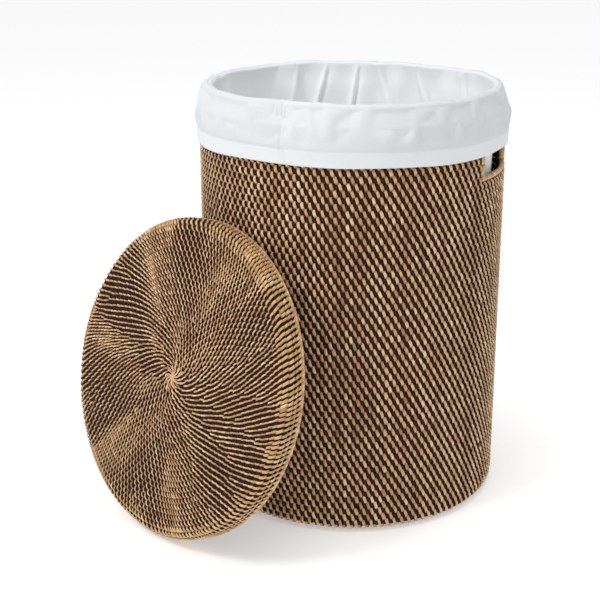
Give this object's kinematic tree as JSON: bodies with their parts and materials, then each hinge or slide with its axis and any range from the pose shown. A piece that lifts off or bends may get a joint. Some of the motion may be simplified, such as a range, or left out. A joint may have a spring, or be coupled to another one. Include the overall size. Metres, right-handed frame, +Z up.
{
  "type": "laundry basket woven",
  "caption": "Tall round woven rattan laundry basket with hand holes, a cotton liner folded over the rim and a shallow lift-off lid that leans against its side.",
  "frame": {"origin": "centre of the basket's underside, on the floor", "axes": "+Z up along the basket's axis, +X and -X through its two hand holes; the lid leans on the wall in the direction 115 degrees clockwise from +X"},
  "size_m": [0.564, 0.5718, 0.5731],
  "materials": {
    "rattan_weave": "satin split rattan strips in a plain weave",
    "rattan_rod": "satin round rattan rods",
    "rattan_binding": "satin rattan strip wound round a rod",
    "cotton_liner": "matte plain-woven cotton"
  },
  "bodies": {
    "basket": {"woven_base": "rattan_weave", "base_hoop": "rattan_rod", "wall_weave": "rattan_weave", "wall_border": "rattan_rod", "neck_weave": "rattan_weave", "rim_hoop": "rattan_rod", "grip_right": "rattan_binding", "grip_left": "rattan_binding", "sill_right": "rattan_binding", "sill_left": "rattan_binding", "post_right_front": "rattan_binding", "post_right_back": "rattan_binding", "post_left_front": "rattan_binding", "post_left_back": "rattan_binding"},
    "lid": {"lid_weave": "rattan_weave", "lid_skirt": "rattan_weave", "lid_hem": "rattan_binding", "lid_hoop": "rattan_rod", "lid_star": "rattan_binding"},
    "liner": {"liner_bottom": "cotton_liner", "liner_bag": "cotton_liner", "liner_fold": "cotton_liner", "liner_cuff": "cotton_liner", "liner_hem": "cotton_liner", "liner_seam": "cotton_liner"}
  },
  "joints": [
    {"name": "lid_lift", "type": "slide", "parent": "basket", "child": "lid", "axis": [-0.2517, -0.5447, 0.8], "range_m": [0, 0.5]},
    {"name": "liner_lift", "type": "slide", "parent": "basket", "child": "liner", "axis": [0, 0, 1], "range_m": [0, 0.6]}
  ]
}
